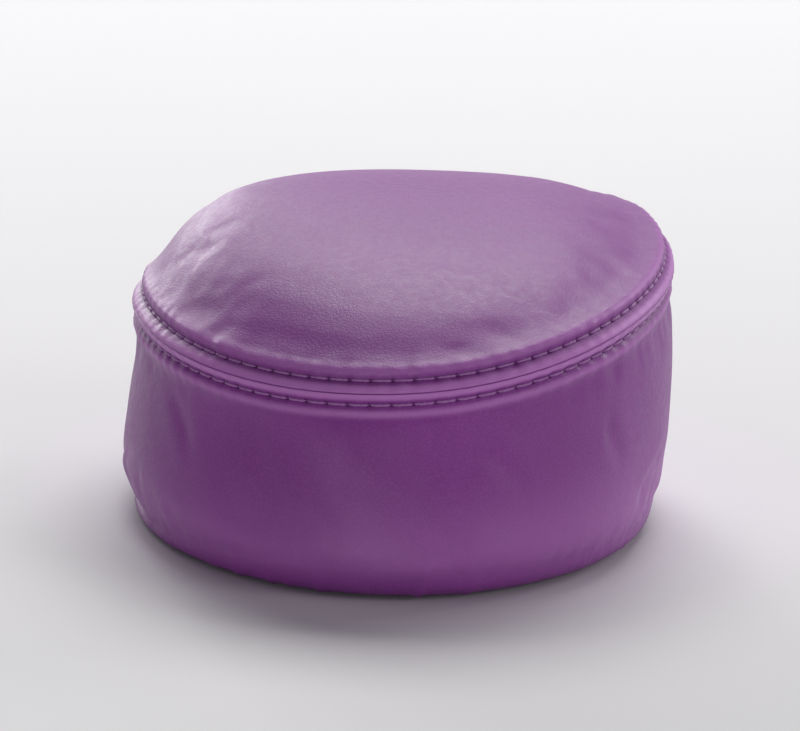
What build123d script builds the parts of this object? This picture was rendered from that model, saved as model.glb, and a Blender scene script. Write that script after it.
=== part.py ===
"""A short oval drum cushion that plugs the face hole of a massage table.

Frame: +Z up, origin under the middle of the cushion on the surface it rests on,
+Y along its long axis. Millimetres.

A plywood board carries a block of foam and a domed layer of wadding. A vinyl top
panel and a vinyl side band are sewn together round the top, with a row of topstitching
on each side of the seam. The band is pulled down, rolled under the board and stapled,
and a black dust cover closes the underside.
"""

import os

from build123d import *

# Overall size
LENGTH = 176.0  # along Y, over the topstitching
WIDTH = 120.0  # along X, over the topstitching
HEIGHT = 71.0  # to the top of the dome
SEAM_HEIGHT = 50.5  # where the top panel meets the side band

# Vinyl cover
VINYL = 1.1  # coated cloth, with its knitted backing
ROLL = 8.0  # radius of the lower edge, where the band turns under the board
HEM = 20.0  # how far in from the wall the band's raw edge lies
BAND_SLIT = 0.3  # gap left between the band's two ends where they meet at the back
CROWN_LEAN = 3.0  # how far the dome's shoulder leans in as it leaves the seam
CROWN_RISE = 12.5  # how high the shoulder carries that slope
CROWN_FLAT = 0.6  # share of the half width over which the dome is nearly flat

# Double-topstitched seam: the doubled vinyl is a soft bead on each side of it
BEAD_HEIGHT = 4.4
BEAD_THICKNESS = 3.1
BEAD_ROUND = 1.4
BEAD_GROOVE = 0.4  # between the two beads
LOWER_BEAD_PROUD = 0.9  # how far the lower bead stands out of the wall
UPPER_BEAD_PROUD = 0.3  # the upper bead leans in with the dome
THREAD = 0.5  # thickness of the topstitching thread
THREAD_LIFT = 0.05  # hair's breadth between a stitch and the vinyl under it
STITCH_LENGTH = 3.4
STITCH_COUNT = 96  # one round of the seam at about 5 mm a stitch
TAPE_THICKNESS = 0.5
TAPE_INSET = 3.7  # from the wall to the tape's outer face
TAPE_BELOW = 6.0
TAPE_ABOVE = 3.0
JOINING_THREAD = 0.6
JOINING_THREAD_INSET = 2.9

# Filling and underside
DUST_COVER = 0.6
DUST_COVER_INSET = 8.5
BOARD_THICKNESS = 9.0
BOARD_INSET = 9.0
BOARD_EDGE = 1.0  # small round on the board's edges
GAP = 0.2  # left between the cover and what fills it

# Staples
STAPLE_CROWN = 10.0
STAPLE_WIRE = 0.7
STAPLE_FLAT = 0.45  # thickness of the crown, driven flush
STAPLE_LEG = 6.0
BAND_STAPLE_INSET = 15.5
BAND_STAPLE_COUNT = 22
DUST_STAPLE_INSET = 11.5
DUST_STAPLE_COUNT = 14

# Places that follow from the sizes above
PROUD = LOWER_BEAD_PROUD + THREAD_LIFT + THREAD
WALL_X = WIDTH / 2 - PROUD
WALL_Y = LENGTH / 2 - PROUD
HEM_Z = DUST_COVER
BOARD_Z = HEM_Z + VINYL + GAP / 2
UPPER_BEAD_Z = SEAM_HEIGHT + BEAD_GROOVE / 2
LOWER_BEAD_Z = SEAM_HEIGHT - BEAD_GROOVE / 2 - BEAD_HEIGHT
JOIN_Y = WALL_Y - VINYL - GAP - JOINING_THREAD / 2
JOIN_BOTTOM = HEM_Z + ROLL + 3.0
JOIN_TOP = SEAM_HEIGHT - TAPE_BELOW - 2.0


def oval(height, inset):
    """The wall's plan outline at a height, drawn in by an inset."""
    edge = EllipticalCenterArc((0, 0), WALL_X - inset, WALL_Y - inset, arc_size=360)
    return edge.moved(Location((0, 0, height)))


def oval_plate(bottom, thickness, inset):
    """A flat oval plate."""
    with BuildPart() as plate:
        with BuildSketch(Plane.XY.offset(bottom)):
            Ellipse(WALL_X - inset, WALL_Y - inset)
        extrude(amount=thickness)
    return plate.part


def oval_hoop(bottom, height, inset, thickness, edge_round=0.0):
    """An upright hoop, its outer face at an inset from the wall."""
    inner = inset + thickness
    with BuildPart() as hoop:
        with BuildSketch(Plane.XY.offset(bottom)):
            Ellipse(WALL_X - inset, WALL_Y - inset)
            Ellipse(WALL_X - inner, WALL_Y - inner, mode=Mode.SUBTRACT)
        extrude(amount=height)
        if edge_round:
            fillet(hoop.edges().filter_by(GeomType.ELLIPSE), edge_round)
    return hoop.part


def drum(inset):
    """The cushion below its seam, drawn in by an inset from the cover's outer face."""
    low = HEM_Z + inset
    with BuildPart() as body:
        add(oval_plate(low, SEAM_HEIGHT - low, inset))
        fillet(body.faces().sort_by(Axis.Z)[0].edges(), ROLL - inset)
    return body.part


def dome(inset):
    """The cushion above its seam, drawn in by an inset from the cover's outer face."""
    side = WALL_X - inset
    top = HEIGHT - inset
    shoulder = (side - CROWN_LEAN, SEAM_HEIGHT + CROWN_RISE)
    with BuildPart() as body:
        with BuildSketch(Plane.XZ):
            with BuildLine():
                Line((0, top), (0, SEAM_HEIGHT))
                Line((0, SEAM_HEIGHT), (side, SEAM_HEIGHT))
                Bezier((side, SEAM_HEIGHT), shoulder, (side * CROWN_FLAT, top), (0, top))
            make_face()
        revolve(axis=Axis.Z)
        scale(by=(1, (WALL_Y - inset) / side, 1))
    return body.part


def places(edge, count):
    """Evenly spaced places along an edge, local X along it and local Z up."""
    for step in range(count):
        share = (step + 0.5) / count
        yield Plane(edge @ share, x_dir=edge % share, z_dir=(0, 0, 1)).location


def staples(height, inset, count):
    """A ring of staples, crowns flush at a height and legs pointing up."""
    low = (Align.CENTER, Align.CENTER, Align.MIN)
    with BuildPart() as ring:
        with Locations(*places(oval(height, inset), count)):
            Box(STAPLE_CROWN, STAPLE_WIRE, STAPLE_FLAT, align=low)
            with GridLocations(STAPLE_CROWN - STAPLE_WIRE, 1, 2, 1):
                Box(STAPLE_WIRE, STAPLE_WIRE, STAPLE_LEG, align=low)
    return ring.part


def stitches(bead_bottom, bead_proud):
    """A row of topstitches lying on a bead's outer face."""
    lift = bead_proud + THREAD_LIFT + THREAD / 2
    height = bead_bottom + BEAD_HEIGHT / 2
    with BuildPart() as row:
        with Locations(*places(oval(height, -lift), STITCH_COUNT)):
            Cylinder(THREAD / 2, STITCH_LENGTH, rotation=(0, 90, 0))
    return row.part


def finish(piece, name):
    """Labels a piece and writes it under its own name."""
    piece.part.label = name
    export_step(piece.part, f"parts/{name}.step")


os.makedirs("parts", exist_ok=True)

# Staples through the hem, and through the dust cover over it
with BuildPart() as band_staples:
    add(staples(HEM_Z, BAND_STAPLE_INSET, BAND_STAPLE_COUNT))

with BuildPart() as dust_cover_staples:
    add(staples(0, DUST_STAPLE_INSET, DUST_STAPLE_COUNT))

# Domed vinyl panel, doubled into a bead along the seam
with BuildPart() as top_panel:
    add(dome(0))
    add(dome(VINYL), mode=Mode.SUBTRACT)
    upper_bead = (UPPER_BEAD_Z, BEAD_HEIGHT, -UPPER_BEAD_PROUD, BEAD_THICKNESS)
    add(oval_hoop(*upper_bead, edge_round=BEAD_ROUND))

# Vinyl band: bead, wall, rolled lower edge and hem under the board
with BuildPart() as side_band:
    add(drum(0))
    add(drum(VINYL), mode=Mode.SUBTRACT)
    lower_bead = (LOWER_BEAD_Z, BEAD_HEIGHT, -LOWER_BEAD_PROUD, BEAD_THICKNESS)
    add(oval_hoop(*lower_bead, edge_round=BEAD_ROUND))
    add(oval_plate(0, BOARD_Z, HEM), mode=Mode.SUBTRACT)
    with BuildSketch(Plane.XY):
        with Locations((0, WALL_Y)):
            Rectangle(BAND_SLIT, 2 * HEM + 2)
    extrude(amount=HEIGHT, mode=Mode.SUBTRACT)
    add(band_staples.part, mode=Mode.SUBTRACT)
    add(dust_cover_staples.part, mode=Mode.SUBTRACT)

# Topstitching on both beads
with BuildPart() as upper_topstitches:
    add(stitches(UPPER_BEAD_Z, UPPER_BEAD_PROUD))

with BuildPart() as lower_topstitches:
    add(stitches(LOWER_BEAD_Z, LOWER_BEAD_PROUD))

# Thread that joins panel and band, and the tape behind it
with BuildPart() as joining_thread:
    thread_z = SEAM_HEIGHT - JOINING_THREAD / 2
    add(oval_hoop(thread_z, JOINING_THREAD, JOINING_THREAD_INSET, JOINING_THREAD))

with BuildPart() as seam_tape:
    tape_height = TAPE_BELOW + TAPE_ABOVE
    tape_z = SEAM_HEIGHT - TAPE_BELOW
    add(oval_hoop(tape_z, tape_height, TAPE_INSET, TAPE_THICKNESS))

# The band's ends meet at the back and are sewn inside
with BuildPart() as band_join_thread:
    with BuildSketch(Plane.XY.offset(JOIN_BOTTOM)):
        with Locations((0, JOIN_Y)):
            Circle(JOINING_THREAD / 2)
    extrude(amount=JOIN_TOP - JOIN_BOTTOM)

# Plywood board
with BuildPart() as base_board:
    add(oval_plate(BOARD_Z, BOARD_THICKNESS, BOARD_INSET))
    fillet(base_board.edges(), BOARD_EDGE)
    add(band_staples.part, mode=Mode.SUBTRACT)
    add(dust_cover_staples.part, mode=Mode.SUBTRACT)

# Room inside the filling for the beads, the tape and the joining thread
room_z = tape_z - GAP
room_height = tape_height + 3 * GAP + BEAD_HEIGHT - TAPE_ABOVE
seam_room = oval_hoop(room_z, room_height, -1, 1 + TAPE_INSET + TAPE_THICKNESS + GAP)

# Foam block, its skirt turned down round the board's edge
with BuildPart() as foam_core:
    add(drum(VINYL + GAP))
    board_room = BOARD_Z + BOARD_THICKNESS + GAP
    add(oval_plate(0, board_room, BOARD_INSET - GAP), mode=Mode.SUBTRACT)
    add(seam_room, mode=Mode.SUBTRACT)
    with BuildSketch(Plane.XY.offset(JOIN_BOTTOM - 1)):
        with Locations((0, WALL_Y)):
            Rectangle(2, 2 * (WALL_Y - JOIN_Y + JOINING_THREAD))
    extrude(amount=SEAM_HEIGHT - JOIN_BOTTOM, mode=Mode.SUBTRACT)

# Domed wadding between the foam and the top panel
with BuildPart() as crown_wadding:
    add(dome(VINYL + GAP))
    add(seam_room, mode=Mode.SUBTRACT)

# Black dust cover, the face the cushion rests on
with BuildPart() as dust_cover:
    add(oval_plate(0, DUST_COVER, DUST_COVER_INSET))
    add(dust_cover_staples.part, mode=Mode.SUBTRACT)

finish(top_panel, "top_panel")
finish(side_band, "side_band")
finish(crown_wadding, "crown_wadding")
finish(foam_core, "foam_core")
finish(base_board, "base_board")
finish(dust_cover, "dust_cover")
finish(band_staples, "band_staples")
finish(dust_cover_staples, "dust_cover_staples")
finish(joining_thread, "joining_thread")
finish(upper_topstitches, "upper_topstitches")
finish(lower_topstitches, "lower_topstitches")
finish(seam_tape, "seam_tape")
finish(band_join_thread, "band_join_thread")
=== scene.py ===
"""Looks of the oval plug cushion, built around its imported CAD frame. Metres, +Z up.

The vinyl cover starts as a plain stuffed form. A cloth simulation blows that form up,
and the top panel and the side band are made on it as closed skins, with the ridges and
stitched valleys of their seam, puckers, creases, a rolled lower edge and a gathered
hem. Everything else is laid in, on or under them.
"""

import math

import bmesh
import bpy
import numpy as np
from mathutils import Matrix, Vector
from mathutils.bvhtree import BVHTree


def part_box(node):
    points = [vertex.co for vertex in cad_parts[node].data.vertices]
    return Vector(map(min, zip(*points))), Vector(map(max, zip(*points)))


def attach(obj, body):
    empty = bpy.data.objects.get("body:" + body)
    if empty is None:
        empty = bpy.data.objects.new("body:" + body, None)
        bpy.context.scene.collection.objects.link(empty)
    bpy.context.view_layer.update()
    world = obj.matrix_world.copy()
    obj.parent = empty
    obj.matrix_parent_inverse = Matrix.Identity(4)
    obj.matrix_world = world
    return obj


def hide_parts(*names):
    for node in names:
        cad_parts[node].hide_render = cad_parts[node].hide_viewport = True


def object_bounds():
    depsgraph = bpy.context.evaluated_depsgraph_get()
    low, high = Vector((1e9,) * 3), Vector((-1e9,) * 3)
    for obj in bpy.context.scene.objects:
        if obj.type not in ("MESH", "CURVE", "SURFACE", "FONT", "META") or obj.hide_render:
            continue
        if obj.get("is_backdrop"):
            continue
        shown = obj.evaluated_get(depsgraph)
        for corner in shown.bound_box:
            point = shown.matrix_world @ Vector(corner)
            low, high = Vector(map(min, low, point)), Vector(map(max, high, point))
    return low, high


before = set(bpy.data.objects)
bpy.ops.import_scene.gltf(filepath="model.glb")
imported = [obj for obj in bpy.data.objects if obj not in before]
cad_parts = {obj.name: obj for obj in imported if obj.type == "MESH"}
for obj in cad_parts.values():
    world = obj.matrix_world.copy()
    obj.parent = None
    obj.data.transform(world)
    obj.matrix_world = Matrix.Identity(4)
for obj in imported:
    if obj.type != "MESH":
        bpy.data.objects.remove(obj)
cad_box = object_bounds()

MM = 0.001
TAU = 2 * math.pi

# Sizes that the CAD has but that no box shows
BEAD_PROUD = 0.9 * MM  # how far the CAD's seam stands out of the wall
VINYL = 1.1 * MM
TAPE_THICK = 0.5 * MM
JOINING_INSET = 2.9 * MM

# Sizes read from the frame
WALL_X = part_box("side_band")[1].x - BEAD_PROUD
WALL_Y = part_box("side_band")[1].y - BEAD_PROUD
HEM_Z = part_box("side_band")[0].z
SEAM_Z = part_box("joining_thread")[1].z
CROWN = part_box("top_panel")[1].z - SEAM_Z
BOARD_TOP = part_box("base_board")[1].z
BOARD_INSET = WALL_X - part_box("base_board")[1].x
DUST_INSET = WALL_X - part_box("dust_cover")[1].x
TAPE_INSET = WALL_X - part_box("seam_tape")[1].x
JOIN_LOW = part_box("band_join_thread")[0].z
JOIN_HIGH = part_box("band_join_thread")[1].z

# The seam isn't level: it stands higher on the right and dips at both ends
LIFT_SIDE = 4.7 * MM
LIFT_MEAN = -0.6 * MM
LIFT_LEFT = -1.3 * MM
LIFT_ENDS = 2.9 * MM
LIFT_SKEW = 0.5 * MM
LIFT_BACK = 3.4 * MM  # more at the back: up on the right, down on the left
DROP_CORNER = 0.8 * MM  # and a drop at the back left

# Crown profile, as in the CAD: shoulder lean and rise, and how far in it stays flat
CROWN_LEAN = 3.0 * MM
LEFT_LEAN = 1.5 * MM  # more on the left, where the shoulder slopes
CROWN_RISE = 12.5 * MM
CROWN_FLAT = 0.6

# Lower edge and hem
ROLL = 7.5 * MM
ROLL_SIDES = 2.9 * MM  # how much tighter the roll is on the two long sides
ROLL_SKEW = 2.2 * MM  # and how much fuller it is on the right than on the left
HEM = 20.0 * MM

# The filling isn't even. Crown: middle x and y, reach, and height, in millimetres.
# Wall: height, reach, and how far out it bulges, in millimetres.
CROWN_SWELLS = ((-32, 30, 26, 54, 3.9), (-47, 20, 14, 52, 3.0), (32, 40, 24, 46, -0.5))
WALL_SLUMP = ((35, 9, -0.9), (10, 8, 1.2))

# Seam
STITCHES = 96
SEGMENTS = STITCHES * 10  # points round each cover
STITCH_LINE = 2.7 * MM  # from the seam to each row of stitches
THREAD = 0.29 * MM  # radius
HIDDEN_THREAD = 0.26 * MM  # radius
FOLD_DEPTH = 2.6 * MM  # how deep the slit between panel and band goes
FOLD_GAP = 0.06 * MM  # half the slit's width
UP, DOWN = 1, -1  # the two sides of the seam

# Cloth simulation
VOXEL = 4.0 * MM
SIM_FRAMES = 20
SIM_START = 1.2 * MM  # how much smaller than the form it starts
SIM_CAP = 2.5 * MM  # how far it may leave the form
SIM_QUALITY = 8
PRESSURE = 15
BENDING = 0.6
VINYL_SPARE = 0.028  # how much more vinyl there is than the form needs
CROWN_SNUG = 0.85  # the crown has far less to spare
SEAM_HOLD = 3 * MM  # how far from the seam its hold reaches
BASE_HOLD = 2 * MM, 6 * MM  # height where the base's hold starts to fade, and over what
CROWN_START = 1 * MM, 4 * MM  # height over the seam where the crown starts, and over what


def smoothstep(x):
    """0 below 0, 1 above 1, smooth between."""
    x = np.clip(x, 0.0, 1.0)
    return x * x * (3 - 2 * x)


def bell(x):
    """A smooth hump, 1 at 0."""
    return np.exp(-(x**2))


def unit(v):
    """Vectors scaled to length 1."""
    return v / np.maximum(np.linalg.norm(v, axis=-1, keepdims=True), 1e-12)


def between(low, high, count, last=False):
    """Rows of distances from low to high, with high itself only if last is set."""
    shares = np.arange(count + last)[:, None] / count
    return low + (high - low) * shares


# ---------------------------------------------------------------- the plain form


def lift_at(t):
    """How far the seam stands above or below its mean height."""
    behind = smoothstep(0.2 + np.sin(t))  # 0 at the front, 1 at the back
    side = (LIFT_SIDE + LIFT_BACK * behind) * np.cos(t)
    side = side - DROP_CORNER * behind * smoothstep(-1.5 * np.cos(t))
    side = side + LIFT_MEAN + LIFT_LEFT * smoothstep(-np.cos(t))
    return side + LIFT_ENDS * np.cos(2 * t) + LIFT_SKEW * np.sin(2 * t)


class Oval:
    """Evenly spaced places round the wall, from the back, anticlockwise from above."""

    def __init__(self, count, offset=0.0):
        fine = np.linspace(0, TAU, 8001) + math.pi / 2
        walk = np.c_[WALL_X * np.cos(fine), WALL_Y * np.sin(fine)]
        steps = np.linalg.norm(np.diff(walk, axis=0), axis=1)
        length = np.r_[0, np.cumsum(steps)]
        self.count = count
        self.length = length[-1]
        self.share = (np.arange(count) + offset) / count
        self.t = np.interp(self.share * self.length, length, fine)
        cos, sin, zero = np.cos(self.t), np.sin(self.t), np.zeros(count)
        self.place = np.c_[WALL_X * cos, WALL_Y * sin, zero]
        self.out = unit(np.c_[WALL_Y * cos, WALL_X * sin, zero])
        self.lift = lift_at(self.t)
        self.roll = ROLL - ROLL_SIDES * cos**2 + ROLL_SKEW * cos
        self.curve = sin**2  # 1 at the two tight ends, 0 at the two long sides


class Form:
    """A plain surface of meridians, read at distances from the seam."""

    def __init__(self, oval, lines):
        self.oval = oval
        self.lines = lines
        steps = np.linalg.norm(np.diff(lines, axis=0), axis=2)
        self.walk = np.vstack([np.zeros(oval.count), np.cumsum(steps, axis=0)])
        self.end = self.walk[-1]

    def at(self, d):
        """Points at distances d, one row of distances for each ring."""
        d = np.broadcast_to(d, (len(d), self.oval.count))
        points = np.empty((*d.shape, 3))
        for j in range(self.oval.count):
            for axis in range(3):
                line = self.lines[:, j, axis]
                points[:, j, axis] = np.interp(d[:, j], self.walk[:, j], line)
        return points

    def normal(self, d):
        """Outward normals at distances d, turned level close to the seam."""
        step = 0.5 * MM
        down = self.at(np.minimum(d + step, self.end)) - self.at(np.maximum(d - step, 0))
        ring = self.at(d)
        along = np.roll(ring, -1, axis=1) - np.roll(ring, 1, axis=1)
        n = unit(np.cross(along, down))
        middle = np.array((0, 0, SEAM_Z / 2))
        n[np.einsum("kji,kji->kj", n, ring - middle) < 0] *= -1
        level = smoothstep(1 - d / (5 * MM))
        level = np.broadcast_to(level, n.shape[:2])[..., None]
        return unit(n * (1 - level) + self.oval.out * level)


def panel_form(oval):
    """The top panel's plain form, from the seam to the middle of the crown."""
    u = np.linspace(0, 1, 160)[:, None]
    weights = (1 - u) ** 3, 3 * (1 - u) ** 2 * u, 3 * (1 - u) * u**2, u**3
    lean = 1 - (CROWN_LEAN + LEFT_LEAN * smoothstep(-np.cos(oval.t))) / WALL_X
    share = weights[0] + weights[1] * lean + weights[2] * CROWN_FLAT
    rise = weights[1] * CROWN_RISE + (weights[2] + weights[3]) * CROWN
    lines = oval.place[None] * share[:, :, None]
    swell = 0
    for x, y, wide, long, high in CROWN_SWELLS:
        across, along = lines[:, :, 0] / MM - x, lines[:, :, 1] / MM - y
        swell = swell + high * MM * bell(across / wide) * bell(along / long)
    swell = swell * smoothstep((1 - share) * 8)
    lines[:, :, 2] = SEAM_Z + oval.lift * share**2 + rise + swell
    return Form(oval, lines)


def band_form(oval):
    """The side band's plain form, from the seam to its raw edge under the board."""
    wall = SEAM_Z + oval.lift - HEM_Z - oval.roll
    inset, height = [], []
    for share in np.linspace(0, 1, 60):
        inset.append(0 * oval.roll)
        height.append(SEAM_Z + oval.lift - wall * share)
    for turn in np.linspace(0, math.pi / 2, 30)[1:]:
        inset.append(oval.roll * (1 - math.cos(turn)))
        height.append(HEM_Z + oval.roll * (1 - math.sin(turn)))
    for share in np.linspace(0, 1, 12)[1:]:
        inset.append(oval.roll + (HEM - oval.roll) * share)
        height.append(HEM_Z + 0 * oval.roll)
    lines = oval.place - oval.out * np.array(inset)[:, :, None]
    lines[:, :, 2] = np.array(height)
    form = Form(oval, lines)
    form.wall = wall
    form.turned = wall + oval.roll * math.pi / 2
    return form


class Skin:
    """A closed mesh of rings. Each ring has as many points as the last, or half, or twice."""

    def __init__(self):
        self.points, self.faces, self.shade = [], [], []
        self.first = self.last = None

    def add(self, ring, shade=0.0):
        """Adds a ring, or a single point, and joins it to the one before."""
        ring = np.asarray(ring, float).reshape(-1, 3)
        here = list(range(len(self.points), len(self.points) + len(ring)))
        self.points.extend(ring.tolist())
        self.shade.extend(np.broadcast_to(shade, len(ring)).tolist())
        if self.last is None:
            self.first = here
        else:
            self.join(self.last, here)
        self.last = here

    def rings(self, rings, shades=None):
        """Adds several rings."""
        for i, ring in enumerate(rings):
            self.add(ring, 0.0 if shades is None else shades[i])

    def join(self, a, b):
        """Faces between two rings."""
        if len(a) < len(b):
            a, b = b, a
        n, m = len(a), len(b)
        if m == 1:
            self.faces.extend((a[i], a[(i + 1) % n], b[0]) for i in range(n))
            return
        for i in range(m):
            j = (i + 1) % m
            if n == m:
                self.faces.append((a[i], a[j], b[j], b[i]))
            else:
                low, mid, high = a[2 * i], a[2 * i + 1], a[(2 * i + 2) % n]
                self.faces.extend([(low, mid, b[i]), (mid, b[j], b[i]), (mid, high, b[j])])

    def close(self):
        """Joins the last ring back to the first."""
        self.join(self.last, self.first)
        self.rest()

    def rest(self):
        """Ends this run of rings, so that another closed run can follow."""
        self.first = self.last = None

    def piece(self, name):
        """The finished object, its faces all turned outwards."""
        mesh = bpy.data.meshes.new(name)
        mesh.from_pydata(self.points, [], self.faces)
        # Per point: painted light where positive, painted shade where negative; the vinyl's
        # colour follows it.
        mesh.attributes.new("painted_light_and_shade", "FLOAT", "POINT").data.foreach_set("value", self.shade)
        work = bmesh.new()
        work.from_mesh(mesh)
        bmesh.ops.recalc_face_normals(work, faces=work.faces)
        for face in work.faces:
            face.smooth = True
        work.to_mesh(mesh)
        work.free()
        obj = bpy.data.objects.new(name, mesh)
        bpy.context.scene.collection.objects.link(obj)
        return obj


# ---------------------------------------------------------------- cloth simulation


def applied(obj):
    """Gives an object the mesh that its modifiers make."""
    graph = bpy.context.evaluated_depsgraph_get()
    mesh = bpy.data.meshes.new_from_object(obj.evaluated_get(graph))
    obj.modifiers.clear()
    obj.data = mesh
    return obj


def stuffed_body():
    """The whole plain form, a little smaller, as a closed mesh of even cells."""
    oval = Oval(120)
    panel, band = panel_form(oval), band_form(oval)
    skin = Skin()
    skin.add((0, 0, SEAM_Z + CROWN - SIM_START))
    rows = between(panel.end * 0.97, 0, 24)
    skin.rings(panel.at(rows) - panel.normal(rows) * SIM_START)
    rows = between(0, band.turned, 20)
    skin.rings(band.at(rows) - band.normal(rows) * SIM_START)
    skin.add((0, 0, HEM_Z + SIM_START))
    body = skin.piece("stuffed_body")
    remesh = body.modifiers.new("even", "REMESH")
    remesh.mode = "VOXEL"
    remesh.voxel_size = VOXEL
    return applied(body)


def simulate(body):
    """Blows the body up under its sewn seam and its stapled base."""
    x, y, z = np.array([v.co for v in body.data.vertices]).T
    share = np.hypot(x / WALL_X, y / WALL_Y)
    seam_z = SEAM_Z + lift_at(np.arctan2(y / WALL_Y, x / WALL_X))
    seam = bell((z - seam_z) / SEAM_HOLD) * smoothstep((share - 0.85) / 0.1)
    base = 1 - smoothstep((z - BASE_HOLD[0]) / BASE_HOLD[1])
    held = np.clip(np.maximum(seam * 1.3, base), 0, 1)
    crown = smoothstep((z - seam_z - CROWN_START[0]) / CROWN_START[1])
    for name, weights in (("held", held), ("snug", np.maximum(held, CROWN_SNUG * crown))):
        group = body.vertex_groups.new(name=name)
        for i, weight in enumerate(weights):
            group.add([i], float(weight), "REPLACE")
    cloth = body.modifiers.new("cloth", "CLOTH")
    settings = cloth.settings
    settings.quality = SIM_QUALITY
    settings.bending_stiffness = BENDING
    settings.use_pressure = True
    settings.uniform_pressure_force = PRESSURE
    settings.vertex_group_mass = "held"
    settings.vertex_group_shrink = "snug"
    settings.shrink_min = -VINYL_SPARE
    settings.shrink_max = 0.0
    settings.effector_weights.gravity = 0
    cloth.collision_settings.use_self_collision = False
    cloth.point_cache.frame_start = 1
    cloth.point_cache.frame_end = SIM_FRAMES
    for step in range(1, SIM_FRAMES + 1):
        bpy.context.scene.frame_set(step)
    applied(body)
    bpy.context.scene.frame_set(1)
    body.modifiers.new("finer", "SUBSURF").levels = 2
    return applied(body)


class Puff:
    """How far the simulated body stands off the plain form."""

    REACH = 12 * MM

    def __init__(self):
        self.tree = None
        body = simulate(stuffed_body())
        points = [v.co.copy() for v in body.data.vertices]
        faces = [p.vertices[:] for p in body.data.polygons]
        self.tree = BVHTree.FromPolygons(points, faces)
        bpy.data.objects.remove(body)

    def off(self, points, outward):
        """Distances along the outward normals, smoothly capped."""
        found = np.zeros(points.shape[:2])
        if self.tree is None:
            return found
        for place in np.ndindex(found.shape):
            n = Vector(outward[place])
            start = Vector(points[place]) + n * self.REACH
            hit = self.tree.ray_cast(start, -n, 2 * self.REACH)
            if hit[3] is not None:
                found[place] = self.REACH - hit[3]
        return SIM_CAP * np.tanh(found / SIM_CAP)


puff = Puff()

# ---------------------------------------------------------------- seam and wrinkles

# Profile of each side of the seam, in millimetres: distance from the seam, and height over
# the plain form. A ridge, then the valley with the stitches, then a lower outer ridge.
BEAD_D = 0, 0.25, 0.6, 1.0, 1.4, 1.8, 2.2, 2.7, 3.1, 3.6, 4.2, 4.8, 5.5, 6.4, 7.5, 9.0
BEAD_H = 1.3, 1.36, 1.34, 1.2, 0.98, 0.66, 0.3, 0.0, 0.2, 0.6, 0.97, 1.08, 0.92, 0.5, 0.15, 0
SHOULDER = 8 * MM, 3.5 * MM, 0.5 * MM  # place, reach and height, on the panel only
BEAD_D, BEAD_H = np.array(BEAD_D) * MM, np.array(BEAD_H) * MM
BEAD_ROWS = 0.06, 0.3, 0.6, 1, 1.4, 1.8, 2.1, 2.4, 2.7, 3, 3.4, 3.9, 4.5, 5.1, 5.8, 6.6, 7.5
BEAD_ROWS = np.array(BEAD_ROWS)[:, None] * MM
BEAD_END = 8.3 * MM  # where the next rows start
FOLD_ROWS = 1.0, 0.75, 0.5  # shares of the slit's depth
HOLE = 0.55 * MM, 0.30 * MM  # reach and depth of a stitch hole
PULL = 0.075 * MM  # height of the small puckers that each stitch pulls


def hole_gap(oval):
    """Distance along the seam to the nearest stitch hole."""
    turn = oval.share * STITCHES
    return np.abs((turn + 0.5) % 1.0 - 0.5) * oval.length / STITCHES


def seam_detail(oval, d, side):
    """Height of the seam's profile, with stitch holes and the puckers that stitches pull."""
    height = np.interp(d, BEAD_D, BEAD_H)
    if side == UP:
        where, reach, high = SHOULDER
        height = height + high * bell((d - where) / reach)
    near_line = bell((d - STITCH_LINE) / (0.6 * MM))
    height = height - HOLE[1] * bell(hole_gap(oval) / HOLE[0]) * near_line
    swell = -np.cos(TAU * (oval.share * STITCHES + side * d / (16 * MM)))
    reach = smoothstep(d / (0.8 * MM)) * (1 - smoothstep((d - 3 * MM) / (5 * MM)))
    drift = 1.2 + np.sin(TAU * 7 * oval.share + 1.3) * np.sin(TAU * 11 * oval.share + side)
    return height + PULL * swell * reach * drift


def puckers(oval, d, seed, count, reach, depth):
    """Short folds that run away from the seam where the vinyl is gathered."""
    draw = np.random.default_rng(seed)
    total = np.zeros(np.broadcast_shapes(d.shape, (1, oval.count)))
    for _ in range(count):
        where, width = draw.random(), draw.uniform(1.6, 3.6) * MM
        length, deep = reach * draw.uniform(0.5, 1.4), depth * draw.uniform(0.3, 1.0)
        slant = draw.uniform(-0.35, 0.35)
        gap = (oval.share - where + 0.5) % 1.0 - 0.5
        gap = gap * oval.length + slant * d
        fade = smoothstep((d - 1 * MM) / (4 * MM)) * (1 - smoothstep(d / length))
        wave = 0.55 * bell((gap - 1.9 * width) / (1.2 * width)) - bell(gap / width)
        total = total + deep * wave * fade
    return total


def fold(u, v, start, end, width, depth, bow=0.0):
    """A soft crease in a flat (u, v) map, with low ridges beside it."""
    a, b = np.array(start) * MM, np.array(end) * MM
    length = np.linalg.norm(b - a)
    du, dv = (b - a) / length
    along = ((u - a[0]) * du + (v - a[1]) * dv) / length
    gap = (v - a[1]) * du - (u - a[0]) * dv
    gap = gap - bow * MM * 4 * along * (1 - along)
    wide = width * MM
    fade = smoothstep(along / 0.35) * smoothstep((1 - along) / 0.35)
    ridges = bell((gap - 2 * wide) / (1.3 * wide)) + bell((gap + 2 * wide) / (1.3 * wide))
    return depth * MM * fade * (0.4 * ridges - bell(gap / wide))


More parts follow.
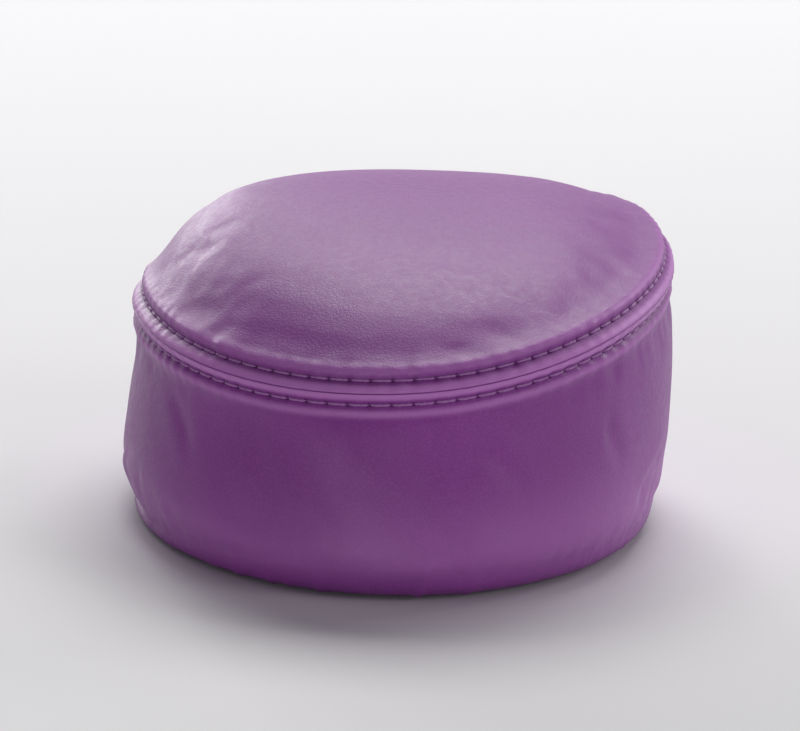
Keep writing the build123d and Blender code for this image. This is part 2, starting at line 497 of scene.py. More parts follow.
# Creases: start, end, width, depth and bow, in millimetres. The panel's are in plan; the
# band's are by distance round from the front, to the right, and by height.
PANEL_FOLDS = (
    ((-52, -34), (-38, -18), 3.0, 0.10, 2),
    ((-46, -54), (-24, -46), 3.0, 0.09, 2),
    ((14, -76), (32, -60), 3.2, 0.09, 2),
    ((42, -52), (48, -30), 3.0, 0.08, -2),
    ((20, 66), (42, 50), 3.0, 0.09, -2),
    ((-30, 66), (-8, 74), 3.0, 0.09, 2),
)
BAND_FOLDS = (
    ((76, 11), (104, 20), 2.2, 0.9, 2),
    ((92, 8), (112, 13), 1.6, 0.5, -1),
    ((-112, 12), (-84, 16), 2.0, 0.45, 2),
    ((-70, 38), (-52, 22), 2.4, 0.35, 2),
    ((-34, 34), (-20, 18), 2.6, 0.30, -2),
    ((18, 36), (34, 20), 2.4, 0.30, 2),
    ((58, 38), (70, 24), 2.4, 0.35, -2),
    ((-20, 12), (24, 14), 2.6, 0.30, 1),
    ((150, 14), (186, 20), 2.2, 0.50, 2),
    ((-196, 20), (-160, 13), 2.2, 0.50, 2),
    ((-140, 38), (-126, 22), 2.4, 0.35, 2),
    ((128, 36), (142, 22), 2.4, 0.35, 2),
)
# A dent low on the right: distance round, height, reach each way, and depth
PINCH = 96 * MM, 14 * MM, 16 * MM, 5 * MM, 1.3 * MM


def panel_face(form, d, fine=True):
    """The panel's outer face: points, normals and heights over the form."""
    oval, points, outward = form.oval, form.at(d), form.normal(d)
    height = puff.off(points, outward) * smoothstep((d - 2 * MM) / (9 * MM))
    if fine:
        height = height + seam_detail(oval, d, UP)
        height = height + puckers(oval, d, 5, 60, 13 * MM, 0.24 * MM)
        away = smoothstep((d - 4 * MM) / (8 * MM))
        for start, end, width, depth, bow in PANEL_FOLDS:
            crease = fold(points[..., 0], points[..., 1], start, end, width, depth, bow)
            height = height + crease * away
    return points, outward, height


def join_groove(oval):
    """Height of the groove at the back, where the band's two ends are sewn together."""
    gap = np.abs((oval.share + 0.5) % 1.0 - 0.5) * oval.length
    sides = bell((gap - 1.9 * MM) / (1.3 * MM))
    return 0.35 * MM * sides - 1.0 * MM * bell(gap / (0.55 * MM))


def pleats(oval, d, form):
    """Small gathers on the lower edge, fuller at the tight ends, flatter under the board."""
    draw = np.random.default_rng(11)
    start = form.wall - 2 * MM
    fade = smoothstep((d - start) / (1.1 * oval.roll + 2 * MM))
    under = smoothstep((d - form.turned) / (3 * MM))
    total = np.zeros(np.broadcast_shapes(d.shape, (1, oval.count)))
    for _ in range(64):
        where, width = draw.random(), draw.uniform(0.9, 1.8) * MM
        high = draw.uniform(0.15, 0.42) * MM
        gap = ((oval.share - where + 0.5) % 1.0 - 0.5) * oval.length
        total = np.maximum(total, high * bell(gap / width) * (0.25 + 0.75 * oval.curve))
    return total * fade * (1 - 0.75 * under)


def band_face(form, d, fine=True):
    """The band's outer face: points, normals and heights over the form."""
    oval, points, outward = form.oval, form.at(d), form.normal(d)
    free = smoothstep((d - 2 * MM) / (9 * MM))
    free = free * (1 - smoothstep((d - form.wall) / (0.9 * oval.roll)))
    height = puff.off(points, outward) * free
    around = np.broadcast_to((oval.share - 0.5) * oval.length, height.shape)
    level = points[..., 2]
    slack = 0.5 - 0.4 * np.sin(oval.t) - 0.7 * np.cos(oval.t)
    for middle, reach, out in WALL_SLUMP:
        height = height + out * MM * bell((level / MM - middle) / reach) * free * slack
    where, high, wide, tall, deep = PINCH
    height = height - deep * bell((around - where) / wide) * bell((level - high) / tall)
    if fine:
        height = height + seam_detail(oval, d, DOWN)
        height = height + puckers(oval, d, 8, 54, 15 * MM, 0.32 * MM) * free
        height = height + join_groove(oval) * (1 - smoothstep((d - form.turned) / HEM))
        height = height + pleats(oval, d, form)
        for start, end, width, depth, bow in BAND_FOLDS:
            height = height + fold(around, level, start, end, width, depth, bow) * free
    return points, outward, height


def outside(face, form, d):
    """Rings of the outer face."""
    points, outward, height = face(form, d)
    return points + outward * height[..., None]


def inside(face, form, d, depth):
    """Rings at a depth under the smooth outer face."""
    points, outward, height = face(form, d, fine=False)
    depth = np.broadcast_to(depth, height.shape)
    return points + outward * (height - depth)[..., None]


def seam_painted_light_and_shade(d, oval):
    """Painted highlight on the ridges, and painted shade in the slit between the lips, in the
    stitched valleys and in the stitch holes.
    """
    crest = 1.0 * bell((d - 0.7 * MM) / (1.1 * MM)) + 0.65 * bell((d - 4.7 * MM) / (1.2 * MM))
    groove = 0.5 * bell(d / (0.15 * MM)) + 0.8 * bell((d - STITCH_LINE) / (0.6 * MM))
    holes = bell(hole_gap(oval) / (0.5 * MM)) * bell((d - STITCH_LINE) / (0.5 * MM))
    return crest - groove - 0.8 * holes


def lining(d):
    """Depth of the cover's inner face: one layer of vinyl, and two more at the seam."""
    return VINYL + 0.1 * MM + 1.4 * MM * smoothstep((7 * MM - d) / (2.5 * MM))


SEAM_TURN = 2 * MM  # where a cover's inner face meets the slit
SEAM_EDGE = 4.5 * MM  # and where the ring before that lies
PANEL_DENSE = 24 * MM  # how far the panel's outer rings keep all their points
PANEL_HALF = 14 * MM  # and how far its inner rings keep half of them
LOW_EDGE_LIGHT = 0.47  # how much painted light lightens the wall's lower edge


def add_fold(skin, form):
    """The folded edge, from the bottom of the seam's slit."""
    edge = form.at(np.array([[FOLD_GAP]]))[0]
    for share in FOLD_ROWS:
        # The slit's rings get full painted shade.
        skin.add(edge - form.oval.out * FOLD_DEPTH * share, -1.0)


def top_cover():
    """The domed panel: from the slit over the crown, and back inside.

    Each row of a table has a divisor of the points round, two shares of the way from
    the seam to the middle, and a count of rings.
    """
    skin = Skin()
    form = panel_form(Oval(SEGMENTS))
    add_fold(skin, form)
    # These rings carry the seam's painted highlight and painted shade.
    for rows in (BEAD_ROWS, between(BEAD_END, PANEL_DENSE, 18)):
        skin.rings(outside(panel_face, form, rows), seam_painted_light_and_shade(rows, form.oval))
    cuts = ((2, 0.0, 0.45, 14), (4, 0.45, 0.68, 14), (8, 0.68, 0.85, 9), (16, 0.85, 0.97, 5))
    for divide, low, high, count in cuts:
        form = panel_form(Oval(SEGMENTS // divide))
        low = form.end * low if low else PANEL_DENSE
        skin.rings(outside(panel_face, form, between(low, form.end * high, count)))
    top = np.mean(skin.points[-form.oval.count :], axis=0)
    skin.add(top)
    skin.rest()
    skin.add(top - (0, 0, VINYL))
    cuts = ((16, 0.97, 0.68, 6), (8, 0.68, 0.45, 6), (4, 0.45, 0.0, 8))
    for divide, low, high, count in cuts:
        form = panel_form(Oval(SEGMENTS // divide))
        high = form.end * high if high else PANEL_HALF
        rows = between(form.end * low, high, count)
        skin.rings(inside(panel_face, form, rows, lining(rows)))
    form = panel_form(Oval(SEGMENTS // 2))
    rows = between(PANEL_HALF, SEAM_EDGE, 9, last=True) + 0 * form.end
    skin.rings(inside(panel_face, form, rows, lining(rows)))
    form = panel_form(Oval(SEGMENTS))
    skin.rings(inside(panel_face, form, np.array([[SEAM_TURN]]), FOLD_DEPTH))
    skin.join(skin.last, list(range(SEGMENTS)))
    return skin.piece("top_cover")


def band_cover():
    """The band: from the slit down the wall, round the lower edge, and back inside."""
    skin = Skin()
    form = band_form(Oval(SEGMENTS))
    add_fold(skin, form)
    # These rings carry the seam's painted highlight and painted shade.
    skin.rings(outside(band_face, form, BEAD_ROWS), seam_painted_light_and_shade(BEAD_ROWS, form.oval))
    # Painted light, growing down the wall towards its lower edge
    low_wall_light = LOW_EDGE_LIGHT * smoothstep(np.linspace(-0.3, 1, 26))
    skin.rings(outside(band_face, form, between(BEAD_END, form.wall, 26)), low_wall_light)
    # Round the roll the painted light fades into painted shade where the roll turns under
    rows = between(form.wall, form.turned, 16)
    skin.rings(outside(band_face, form, rows), np.linspace(LOW_EDGE_LIGHT, -0.3, 16))
    skin.rings(outside(band_face, form, between(form.turned, form.end, 9, last=True)))
    form = band_form(Oval(SEGMENTS // 2))
    rows = between(form.end, form.turned, 5)
    skin.rings(inside(band_face, form, rows, VINYL))
    rows = between(form.turned, form.wall, 10)
    skin.rings(inside(band_face, form, rows, VINYL))
    rows = between(form.wall, 8 * MM, 14)
    skin.rings(inside(band_face, form, rows, lining(rows)))
    rows = between(8 * MM, SEAM_EDGE, 5, last=True) + 0 * form.end
    skin.rings(inside(band_face, form, rows, lining(rows)))
    form = band_form(Oval(SEGMENTS))
    skin.rings(inside(band_face, form, np.array([[SEAM_TURN]]), FOLD_DEPTH))
    skin.close()
    return skin.piece("band_cover")


# ---------------------------------------------------------------- threads and tape


def tube(skin, path, outward, radius, closed=False, twist=1.7 * MM, sides=12):
    """Adds a three-ply thread along a path to a skin."""
    if closed:
        ahead = np.roll(path, -1, axis=0) - np.roll(path, 1, axis=0)
    else:
        ahead = np.gradient(path, axis=0)
    ahead = unit(ahead)
    sideways = unit(np.cross(ahead, outward))
    outward = np.cross(sideways, ahead)
    steps = np.linalg.norm(np.diff(path, axis=0), axis=1)
    walk = np.r_[0, np.cumsum(steps)]
    if closed:
        whole = walk[-1] + np.linalg.norm(path[0] - path[-1])
        twist = whole / round(whole / twist)
    angle = np.arange(sides) / sides * TAU
    if not closed:
        skin.add(path[0])
    for spot, side, out, gone in zip(path, sideways, outward, walk):
        reach = radius * (1 + 0.14 * np.cos(3 * angle - TAU * gone / twist))
        across = np.cos(angle)[:, None] * side + np.sin(angle)[:, None] * out
        skin.add(spot + across * reach[:, None])
    if closed:
        skin.close()
    else:
        skin.add(path[-1])
        skin.rest()


STITCH_LIFT = 0.05 * MM  # height of a stitch's axis over the vinyl
STITCH_BOW = 0.06 * MM  # how much higher its middle stands
STITCH_DIP = 0.62 * MM  # and how much lower it is in each hole


def stitches(name, form_of, face):
    """A row of topstitches, each dipping into its two holes."""
    steps = 16
    form = form_of(Oval(STITCHES * steps))
    points, outward, _ = face(form, np.array([[STITCH_LINE]]), fine=False)
    share = (np.arange(STITCHES * steps) % steps) / steps
    dip = smoothstep((np.abs(share - 0.5) - 0.26) / 0.22)
    crest = np.interp(STITCH_LINE, BEAD_D, BEAD_H) + STITCH_LIFT
    height = crest + STITCH_BOW * np.cos((share - 0.5) * math.pi) - STITCH_DIP * dip
    path = points[0] + outward[0] * height[:, None]
    skin = Skin()
    for first in range(0, len(path), steps):
        part = slice(first + 1, first + steps)
        tube(skin, path[part], outward[0][part], THREAD)
    return skin.piece(name)


def seam_thread():
    """The hidden lockstitch that joins panel and band."""
    oval = Oval(STITCHES * 12)
    sway = 0.12 * MM * np.cos(TAU * oval.share * STITCHES * 1.5)
    path = oval.place - oval.out * (JOINING_INSET + sway)[:, None]
    path[:, 2] = SEAM_Z + oval.lift
    skin = Skin()
    tube(skin, path, oval.out, HIDDEN_THREAD, closed=True)
    return skin.piece("seam_thread")


JOIN_PITCH = 3.2 * MM
JOIN_SWAY = 0.25 * MM
JOIN_DEPTH = VINYL + 0.75 * MM


def join_thread():
    """The stitches that join the band's two ends, inside at the back."""
    form = band_form(Oval(SEGMENTS))
    lift, out = form.oval.lift[0], form.oval.out[0]
    count, coarse = 150, 10
    z = np.linspace(JOIN_HIGH, JOIN_LOW, count)
    rows = (SEAM_Z + lift - z)[:, None]
    spots = form.at(rows)[:, 0]
    _, _, puffed = band_face(form, rows[::coarse], fine=False)
    puffed = np.interp(np.arange(count), np.arange(0, count, coarse), puffed[:, 0])
    wave = JOIN_SWAY * np.cos(TAU * (z - JOIN_LOW) / JOIN_PITCH)
    path = spots - out * (JOIN_DEPTH - puffed + wave)[:, None]
    skin = Skin()
    tube(skin, path, np.broadcast_to(out, path.shape), HIDDEN_THREAD)
    return skin.piece("join_thread")


def tape():
    """The woven tape behind the seam."""
    oval = Oval(SEGMENTS // 4)
    panel, band = panel_form(oval), band_form(oval)
    levels = (band, 6.0), (band, 4.0), (band, 2.0), (band, 0.0), (panel, 1.5), (panel, 3.0)
    lines = [form.at(np.array([[d * MM]]))[0] for form, d in levels]
    skin = Skin()
    for line in lines:
        skin.add(line - oval.out * TAPE_INSET)
    for line in lines[::-1]:
        skin.add(line - oval.out * (TAPE_INSET + TAPE_THICK))
    skin.close()
    return skin.piece("tape_strip")


# ---------------------------------------------------------------- filling and underside

FILL_GAP = 0.5 * MM  # between the cover and what fills it
SEAM_ROOM = 4.8 * MM  # how far the filling stands back from the wall at the seam


def fill_depth(d):
    """How deep under the cover's outer face the filling starts."""
    plain = VINYL + FILL_GAP
    return plain + (SEAM_ROOM - plain) * smoothstep((9 * MM - d) / (2.5 * MM))


def level_ring(count, share, height):
    """A ring at a share of the wall's outline, at a height."""
    ring = Oval(count).place * share
    ring[:, 2] = height
    return ring


def add_parting(skin, offset):
    """Rings of the surface that parts foam and wadding, from its middle outwards."""
    skin.add((0, 0, SEAM_Z + offset))
    for divide, share in ((16, 0.2), (16, 0.45), (8, 0.6), (4, 0.75), (4, 0.88)):
        count = SEGMENTS // divide
        skin.add(level_ring(count, share, SEAM_Z + Oval(count).lift * share**2 + offset))


def wadding():
    """The domed layer of wadding under the top panel."""
    skin = Skin()
    add_parting(skin, 0.2 * MM)
    form = panel_form(Oval(SEGMENTS // 4))
    rows = np.array([0.3, 2, 4, 5.5, 6.5, 7.5, 8.5, 9.5, 12, 16, 20, 24])[:, None] * MM
    skin.rings(inside(panel_face, form, rows, fill_depth(rows)))
    draw = np.random.default_rng(3)
    for divide, low, high, count in ((4, 0.0, 0.6, 8), (8, 0.6, 0.85, 5), (16, 0.85, 0.97, 4)):
        form = panel_form(Oval(SEGMENTS // divide))
        low = form.end * low if low else 27 * MM
        rows = between(low, form.end * high, count)
        lumps = draw.uniform(0, 0.4, rows.shape) * MM
        skin.rings(inside(panel_face, form, rows, VINYL + FILL_GAP + lumps))
    skin.add(np.mean(skin.points[-form.oval.count :], axis=0))
    return skin.piece("wadding_layer")


def foam():
    """The foam block, its skirt turned down round the board."""
    skin = Skin()
    add_parting(skin, -0.2 * MM)
    form = band_form(Oval(SEGMENTS // 4))
    rows = np.array([0.3, 2, 4, 5.5, 6.5, 7.5, 8.5, 9.5])[:, None] * MM
    skin.rings(inside(band_face, form, rows, fill_depth(rows)))
    low = form.wall + (form.turned - form.wall) * 0.7
    for rows in (between(12 * MM, form.wall, 10), between(form.wall, low, 8, last=True)):
        skin.rings(inside(band_face, form, rows, VINYL + FILL_GAP))
    top = BOARD_TOP + 0.2 * MM
    for height in (2.3 * MM, 5 * MM, 8 * MM, top):
        ring = form.oval.place - form.oval.out * (BOARD_INSET - 0.3 * MM)
        ring[:, 2] = height
        skin.add(ring)
    for divide, share in ((4, 0.7), (8, 0.5), (16, 0.25)):
        skin.add(level_ring(SEGMENTS // divide, share, top))
    skin.add((0, 0, top))
    return skin.piece("foam_block")


DUST_HEM = 10.0 * MM  # turned under all round
DUST_CLOTH = 0.16 * MM  # thickness of one layer
DUST_LOW = 0.06 * MM  # height of its lowest face over the floor, before its wrinkles
DUST_FIELD = 30 * MM  # how far in the cloth's rings keep an even distance from its edge
DUST_WAVE = 0.05 * MM  # height of its wrinkles
STAPLE_INSET = 11.5 * MM
STAPLE_PULL = 6 * MM, 0.16 * MM  # reach and height
DUST_STAPLES = 14


def dust_rings(insets, base, count=480):
    """Rings of the dust cloth, gently wrinkled, and pulled up flat round its staples."""
    oval, staples = Oval(count), Oval(DUST_STAPLES, 0.5)
    marks = (staples.place - staples.out * STAPLE_INSET)[:, :2]
    for inset in insets:
        share = min(1.0, (WALL_X - inset) / (WALL_X - DUST_FIELD))
        ring = (oval.place - oval.out * min(inset, DUST_FIELD)) * share
        x, y = ring[:, 0] / MM, ring[:, 1] / MM
        wave = np.sin(x * 0.21 + 1.7 * np.sin(y * 0.08)) * np.sin(y * 0.13 + 0.9)
        wave = wave + 0.6 * np.sin(x * 0.46 - y * 0.3 + 2) * np.sin(y * 0.41)
        gaps = np.linalg.norm(ring[:, None, :2] - marks[None], axis=2).min(axis=1)
        pull = bell(gaps / STAPLE_PULL[0])
        slack = DUST_WAVE * (1 + 0.6 * wave) * (1 - pull)
        ring[:, 2] = base + slack + STAPLE_PULL[1] * pull
        yield ring


def dust_cloth():
    """Black cloth over the underside, its edge turned under and stapled."""
    skin = Skin()
    rim = DUST_INSET + 0.1 * MM
    # Insets from the middle out, with how many points each ring has
    plan = [(WALL_X - r * MM, 60) for r in (2, 6)]
    plan += [(WALL_X - r * MM, 120) for r in (12, 17)]
    plan += [(WALL_X - r * MM, 240) for r in (21, 25)]
    plan += [(inset, 480) for inset in np.linspace(DUST_FIELD, rim, 22)]
    under, over = DUST_LOW, DUST_LOW + DUST_CLOTH
    skin.add((0, 0, under + DUST_WAVE))
    for inset, count in plan:
        skin.rings(dust_rings([inset], under, count))
    skin.rings(dust_rings([DUST_INSET], over))
    tucked = np.linspace(rim, rim + DUST_HEM, 8)
    skin.rings(dust_rings(tucked, DUST_LOW + 2.2 * DUST_CLOTH))
    skin.rings(dust_rings(tucked[:0:-1], DUST_LOW + 1.2 * DUST_CLOTH))
    for inset, count in plan[-2::-1]:
        skin.rings(dust_rings([inset], over, count))
    skin.add((0, 0, over + DUST_WAVE))
    return skin.piece("dust_cloth")


# ---------------------------------------------------------------- materials


class Paint:
    """One procedural material, built node by node in millimetres."""

    def __init__(self, name, **values):
        self.material = bpy.data.materials.new(name)
        self.material.use_nodes = True
        self.tree = self.material.node_tree
        self.shader = self.tree.nodes["Principled BSDF"]
        for key, value in values.items():
            self.shader.inputs[key.replace("_", " ")].default_value = value
        place = self.node("TexCoord").outputs["Object"]
        self.place = self.vector("SCALE", place, Scale=1000.0)

    def node(self, kind, inputs=(), **settings):
        """A node with some inputs set or linked."""
        made = self.tree.nodes.new("ShaderNode" + kind)
        for key, value in settings.items():
            setattr(made, key, value)
        for key, value in dict(inputs).items():
            if isinstance(value, bpy.types.NodeSocket):
                self.tree.links.new(value, made.inputs[key])
            else:
                made.inputs[key].default_value = value
        return made

    def vector(self, operation, a, b=None, **inputs):
        """Vector maths."""
        inputs = {0: a, **({1: b} if b is not None else {}), **inputs}
        return self.node("VectorMath", inputs, operation=operation).outputs[0]

    def maths(self, operation, a, b=0.0):
        """Number maths."""
        return self.node("Math", {0: a, 1: b}, operation=operation).outputs[0]

    def axis(self, vector, index):
        """One coordinate of a vector."""
        return self.node("SeparateXYZ", {0: vector}).outputs[index]

    def noise(self, scale, detail=2.0, rough=0.5, place=None):
        """Noise, with scale in cells per millimetre."""
        inputs = {"Vector": place or self.place, "Scale": scale, "Detail": detail}
        return self.node("TexNoise", {**inputs, "Roughness": rough}).outputs[0]

    def stretched(self, x, y, z):
        """The place, scaled differently along each axis."""
        return self.vector("MULTIPLY", self.place, (x, y, z))

    def range(self, value, low, high, to_low=0.0, to_high=1.0):
        """A value mapped smoothly from one range to another."""
        inputs = {"Value": value, "From Min": low, "From Max": high}
        inputs.update({"To Min": to_low, "To Max": to_high})
        return self.node("MapRange", inputs, interpolation_type="SMOOTHSTEP").outputs[0]

    def mix(self, share, a, b):
        """Two colours mixed."""
        return self.node("Mix", {0: share, 6: a, 7: b}, data_type="RGBA").outputs[2]

    def bump(self, height, depth, strength=1.0, invert=False):
        """Adds relief, depth in millimetres, over what is there."""
        inputs = {"Height": height, "Distance": depth * MM, "Strength": strength}
        normal = self.shader.inputs["Normal"]
        if normal.links:
            inputs["Normal"] = normal.links[0].from_socket
        self.tree.links.new(self.node("Bump", inputs, invert=invert).outputs[0], normal)

    def use(self, **sockets):
        """Links sockets to the shader."""
        for key, value in sockets.items():
            self.tree.links.new(value, self.shader.inputs[key.replace("_", " ")])


def rgb(r, g, b):
    """A colour with full alpha."""
    return (r, g, b, 1.0)


def vinyl():
    """Satin purple artificial leather with a fine pebbled grain."""
    gloss = {"IOR": 1.5, "Specular_IOR_Level": 0.3}
    paint = Paint("purple_vinyl", Coat_Weight=0.05, Coat_Roughness=0.42, **gloss)
    warp = paint.node("TexNoise", {"Vector": paint.place, "Scale": 0.9, "Detail": 1.0})
    warp = paint.vector("SCALE", warp.outputs[1], Scale=0.55)
    cells = {"Vector": paint.vector("ADD", paint.place, warp), "Scale": 1.05}
    cells = paint.node("TexVoronoi", cells, feature="DISTANCE_TO_EDGE").outputs[0]
    pebble = paint.range(cells, 0.0, 0.22)
    mottle = paint.noise(0.03, 3.0, 0.55)
    fine = paint.noise(0.55, 4.0, 0.6)
    colour = paint.mix(mottle, rgb(0.225, 0.040, 0.262), rgb(0.295, 0.060, 0.336))
    fade = paint.range(fine, 0.35, 0.7, 0.0, 0.25)
    colour = paint.mix(fade, colour, rgb(0.31, 0.075, 0.35))
    # Painted shade in the grain: darker where the pebble cells meet, in the creases.
    crease = paint.range(pebble, 0.0, 1.0, 0.22, 0.0)
    colour = paint.mix(crease, colour, rgb(0.12, 0.022, 0.15))
    painted_light_and_shade = paint.node("Attribute", attribute_name="painted_light_and_shade").outputs["Fac"]
    # Painted light: lighter purple where the per-point value is positive.
    painted_light_mask = paint.range(painted_light_and_shade, 0.0, 1.0, 0.0, 0.80)
    colour = paint.mix(painted_light_mask, colour, rgb(0.56, 0.22, 0.60))
    # Painted shade: near-black purple where the per-point value is negative, also rougher
    # there.
    painted_shade_mask = paint.range(paint.maths("MULTIPLY", painted_light_and_shade, -1.0), 0.0, 1.0, 0.0, 0.65)
    colour = paint.mix(painted_shade_mask, colour, rgb(0.07, 0.012, 0.085))
    rough = paint.range(fine, 0.3, 0.7, 0.40, 0.50)
    rough = paint.maths("ADD", rough, paint.maths("MULTIPLY", painted_shade_mask, 0.5))
    paint.use(Base_Color=colour, Roughness=rough)
    paint.bump(paint.noise(0.12, 2.0), 0.25, 0.35)
    paint.bump(pebble, 0.045, 0.55)
    paint.bump(paint.noise(3.2, 3.0), 0.02, 0.5)
    return paint.material


def thread():
    """Lilac bonded polyester."""
    paint = Paint("lilac_thread", Sheen_Weight=0.25, Sheen_Roughness=0.4)
    colour = paint.mix(paint.noise(1.6, 3.0), rgb(0.30, 0.10, 0.34), rgb(0.43, 0.19, 0.47))
    rough = paint.range(paint.noise(4.0), 0.3, 0.7, 0.45, 0.62)
    paint.use(Base_Color=colour, Roughness=rough)
    paint.bump(paint.noise(9.0, 2.0), 0.03, 0.6)
    return paint.material


def nonwoven():
    """Black spun-bonded cloth with its pattern of bonded dots."""
    paint = Paint("black_nonwoven", Sheen_Weight=0.2, Sheen_Roughness=0.5)
    x, y = paint.axis(paint.place, 0), paint.axis(paint.place, 1)
    waves = []
    for sign in ("ADD", "SUBTRACT"):
        line = paint.maths("MULTIPLY", paint.maths(sign, x, y), TAU / 2.2)
        waves.append(paint.maths("SINE", line))
    dot = paint.range(paint.maths("MULTIPLY", *waves), 0.35, 0.75)
    fibres = paint.noise(1.2, 5.0, 0.75, paint.stretched(1.0, 0.35, 1.0))
    fibre = paint.range(fibres, 0.35, 0.65)
    colour = paint.mix(fibre, rgb(0.014, 0.014, 0.015), rgb(0.050, 0.050, 0.053))
    bonded = paint.maths("MULTIPLY", dot, 0.6)
    colour = paint.mix(bonded, colour, rgb(0.008, 0.008, 0.009))
    rough = paint.range(dot, 0.0, 1.0, 0.88, 0.6)
    paint.use(Base_Color=colour, Roughness=rough)
    paint.bump(dot, 0.06, 0.8, invert=True)
    paint.bump(fibres, 0.05, 0.8)
    return paint.material


def steel():
    """Galvanised staple wire."""
    paint = Paint("galvanised_wire", Metallic=1.0)
    blotch = paint.noise(1.5, 3.0, 0.6)
    drawn = paint.noise(2.0, 2.0, 0.5, paint.stretched(6.0, 6.0, 0.6))
    colour = paint.mix(blotch, rgb(0.52, 0.52, 0.54), rgb(0.72, 0.72, 0.74))
    rough = paint.range(drawn, 0.3, 0.7, 0.26, 0.46)
    paint.use(Base_Color=colour, Roughness=rough)
    paint.bump(drawn, 0.01, 0.5)
    return paint.material


def plywood():
    """Raw plywood: grain on its faces and plies on its edge."""
    paint = Paint("plywood", Roughness=0.7)
    grain = paint.noise(0.5, 5.0, 0.65, paint.stretched(1.0, 0.06, 0.25))
    across = paint.noise(0.5, 5.0, 0.65, paint.stretched(0.06, 1.0, 0.25))
    height = paint.axis(paint.place, 2)
    ply = paint.maths("SINE", paint.maths("MULTIPLY", height, TAU / 3.0))
    ply = paint.range(ply, -0.25, 0.25)
    light = paint.mix(grain, rgb(0.45, 0.30, 0.16), rgb(0.72, 0.54, 0.33))
    dark = paint.mix(across, rgb(0.28, 0.17, 0.085), rgb(0.50, 0.34, 0.19))
    upward = paint.axis(paint.node("NewGeometry").outputs["Normal"], 2)
    face = paint.range(paint.maths("ABSOLUTE", upward), 0.6, 0.8)
    colour = paint.mix(face, paint.mix(ply, dark, light), light)
    paint.use(Base_Color=colour)
    paint.bump(grain, 0.08, 0.6)
    return paint.material


def open_foam():
    """Cream open-cell foam."""
    paint = Paint("cream_foam", Roughness=0.95, Sheen_Weight=0.15)
    cells = {"Vector": paint.place, "Scale": 1.6}
    cells = paint.node("TexVoronoi", cells, feature="F1").outputs[0]
    age = paint.noise(0.05, 3.0)
    colour = paint.mix(age, rgb(0.78, 0.66, 0.42), rgb(0.86, 0.78, 0.56))
    # Painted shade in the pores: darker in the pits that the bump makes.
    pores = paint.range(cells, 0.2, 0.7, 0.45, 0.0)
    colour = paint.mix(pores, colour, rgb(0.42, 0.32, 0.17))
    paint.use(Base_Color=colour)
    paint.bump(cells, 0.25, 0.8)
    return paint.material


def polyester():
    """White polyester wadding."""
    paint = Paint("white_wadding", Roughness=0.95, Sheen_Weight=0.5)
    one = paint.noise(0.9, 6.0, 0.75, paint.stretched(1.0, 0.25, 0.7))
    two = paint.noise(0.9, 6.0, 0.75, paint.stretched(0.3, 1.0, 0.7))
    fibres = paint.maths("MAXIMUM", one, two)
    fibre = paint.range(fibres, 0.4, 0.7)
    colour = paint.mix(fibre, rgb(0.70, 0.70, 0.69), rgb(0.90, 0.90, 0.89))
    paint.use(Base_Color=colour)
    paint.bump(fibres, 0.5, 0.8)
    return paint.material


def woven():
    """Undyed woven tape."""
    paint = Paint("woven_tape", Roughness=0.85, Sheen_Weight=0.2)
    height = paint.axis(paint.place, 2)
    around = paint.node("TexGradient", {0: paint.place}, gradient_type="RADIAL").outputs[1]
    weft = paint.maths("SINE", paint.maths("MULTIPLY", height, TAU / 0.7))
    warp = paint.maths("SINE", paint.maths("MULTIPLY", around, TAU * 600))
    weave = paint.range(paint.maths("MULTIPLY", weft, warp), -0.6, 0.6)
    colour = paint.mix(weave, rgb(0.58, 0.55, 0.50), rgb(0.84, 0.82, 0.77))
    paint.use(Base_Color=colour)
    paint.bump(weave, 0.12, 0.9)
    return paint.material


def backdrop():
    """The pale floor, clear from below so that the underside can be seen."""
    paint = Paint("pale_floor", Roughness=0.6)
    colour = paint.mix(paint.noise(0.004, 3.0), rgb(0.70, 0.69, 0.70), rgb(0.74, 0.73, 0.74))
    paint.use(Base_Color=colour)
    below = paint.node("NewGeometry").outputs["Backfacing"]
    clear = paint.node("BsdfTransparent").outputs[0]
    both = paint.node("MixShader", {0: below, 1: paint.shader.outputs[0], 2: clear})
    result = paint.tree.nodes["Material Output"].inputs["Surface"]
    paint.tree.links.new(both.outputs[0], result)
    return paint.material


# ---------------------------------------------------------------- the pieces

VINYL_PAINT, THREAD_PAINT, STEEL_PAINT = vinyl(), thread(), steel()


def place(piece, paint, slot, *nodes):
    """Gives a new piece its material and its body, and hides the CAD nodes that it stands for.
    """
    piece.data.materials.append(paint)
    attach(piece, "root")
    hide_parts(*nodes)
    return piece


top = place(top_cover(), VINYL_PAINT, "vinyl", "top_panel")
band = place(band_cover(), VINYL_PAINT, "vinyl", "side_band")
fill_top = place(wadding(), polyester(), "wadding", "crown_wadding")
fill_low = place(foam(), open_foam(), "foam", "foam_core")
cloth = place(dust_cloth(), nonwoven(), "nonwoven", "dust_cover")
place(tape(), woven(), "tape", "seam_tape")
place(seam_thread(), THREAD_PAINT, "thread", "joining_thread")
place(join_thread(), THREAD_PAINT, "thread", "band_join_thread")
upper = stitches("upper_stitches", panel_form, panel_face)
place(upper, THREAD_PAINT, "thread", "upper_topstitches")
lower = stitches("lower_stitches", band_form, band_face)
place(lower, THREAD_PAINT, "thread", "lower_topstitches")

for node, paint in (
    ("base_board", plywood()),
    ("band_staples", STEEL_PAINT),
    ("dust_cover_staples", STEEL_PAINT),
):
    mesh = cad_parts[node].data
    mesh.materials.clear()
    mesh.materials.append(paint)

# ---------------------------------------------------------------- floor, light, camera


def aimed(obj, target, roll=0.0):
    """Points a lamp or camera at a target."""
    turn = (Vector(target) - obj.location).to_track_quat("-Z", "Y").to_matrix().to_4x4()
    turn = turn @ Matrix.Rotation(math.radians(roll), 4, "Z")
    obj.matrix_world = Matrix.Translation(obj.location) @ turn
    return obj


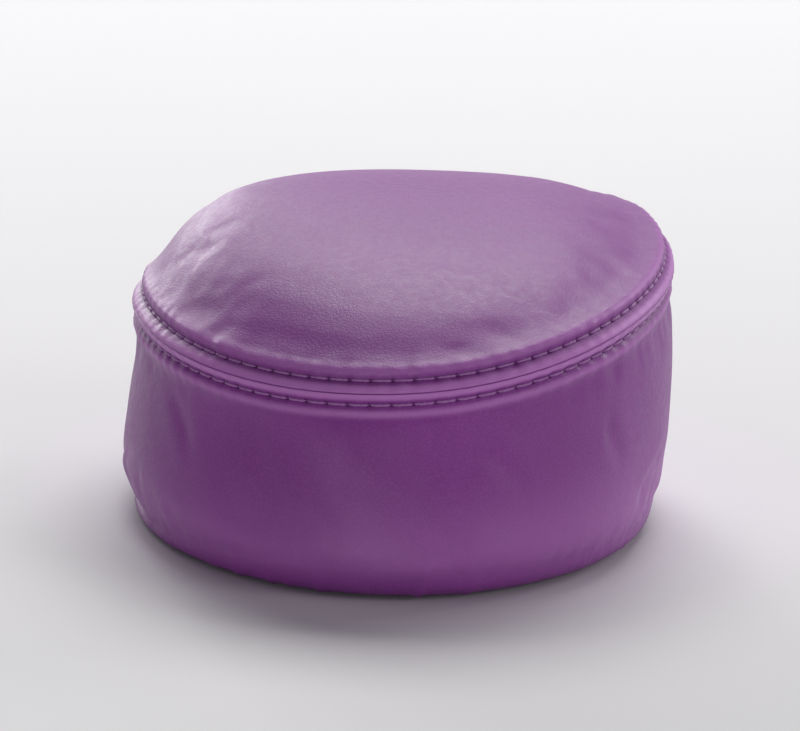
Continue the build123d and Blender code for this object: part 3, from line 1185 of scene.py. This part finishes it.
def lamp(name, spot, target, size, watts):
    """A soft rectangular lamp."""
    data = bpy.data.lights.new(name, "AREA")
    data.shape = "RECTANGLE"
    data.size, data.size_y = size
    data.energy = watts
    obj = bpy.data.objects.new(name, data)
    bpy.context.scene.collection.objects.link(obj)
    obj.location = spot
    obj.visible_camera = False
    return aimed(obj, target)


FLOOR_EDGE = 12.0
FLOOR_Z = -0.02 * MM
FLOOR_SIDES = 96
OPENING = 0.87  # share of the wall's outline, inside the line where the cushion rests
# The floor is open where the cushion hides it, so that a lamp below lights the underside
opening = Oval(FLOOR_SIDES).place * OPENING
edge = Oval(FLOOR_SIDES).place * (FLOOR_EDGE / WALL_X)
corners = np.vstack([opening, edge]) + (0, 0, FLOOR_Z)
floor_faces = []
for here in range(FLOOR_SIDES):
    after = (here + 1) % FLOOR_SIDES
    floor_faces.append((here, here + FLOOR_SIDES, after + FLOOR_SIDES, after))
floor_mesh = bpy.data.meshes.new("floor")
floor_mesh.from_pydata(corners.tolist(), [], floor_faces)
floor_mesh.materials.append(backdrop())
floor = bpy.data.objects.new("floor", floor_mesh)
bpy.context.scene.collection.objects.link(floor)
floor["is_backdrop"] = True

MIDDLE = (0.0, 0.0, 0.033)
lamp("overhead", (0.1, 1.05, 1.3), MIDDLE, (1.2, 0.9), 21.0)
lamp("behind", (-0.3, 2.4, 0.62), MIDDLE, (1.7, 0.8), 3.0)
lamp("back_left", (-0.95, 2.2, 0.7), MIDDLE, (1.0, 0.8), 17.0)
lamp("back_right", (1.6, 1.5, 0.85), MIDDLE, (0.9, 0.8), 12.5)
lamp("right_side", (1.5, -0.6, 0.5), MIDDLE, (0.7, 0.7), 5.0)
lamp("low_front", (-0.35, -1.4, 0.2), MIDDLE, (1.0, 0.3), 3.4)
lamp("under", (0.3, 0.5, -1.0), MIDDLE, (0.8, 0.8), 12.0)

world = bpy.data.worlds.new("studio")
bpy.context.scene.world = world
world.use_nodes = True
world.node_tree.nodes["Background"].inputs["Color"].default_value = rgb(0.95, 0.94, 1.0)
world.node_tree.nodes["Background"].inputs["Strength"].default_value = 0.16
bpy.context.scene.view_settings.view_transform = "Standard"

# The photo's viewing angle
CAMERA_TURN, CAMERA_TILT = math.radians(1.0), math.radians(13.3)
CAMERA_ROLL = 2.2  # degrees
CAMERA_DISTANCE = 2.926
CAMERA_LENS, CAMERA_SENSOR = 592.5, 36.0  # millimetres
level_x, level_y = math.sin(CAMERA_TURN), -math.cos(CAMERA_TURN)
tilt = math.cos(CAMERA_TILT)
back = Vector((level_x * tilt, level_y * tilt, math.sin(CAMERA_TILT)))
lens = bpy.data.cameras.new("camera")
lens.lens = CAMERA_LENS
lens.sensor_width = CAMERA_SENSOR
lens.clip_start, lens.clip_end = 0.1, 100.0
camera = bpy.data.objects.new("camera", lens)
bpy.context.scene.collection.objects.link(camera)
camera.location = Vector(MIDDLE) + back * CAMERA_DISTANCE
aimed(camera, MIDDLE, CAMERA_ROLL)
bpy.context.scene.camera = camera

visual_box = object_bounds()
boxes = {"cad": cad_box, "visual": visual_box}
{key: [list(corner) for corner in box] for key, box in boxes.items()}
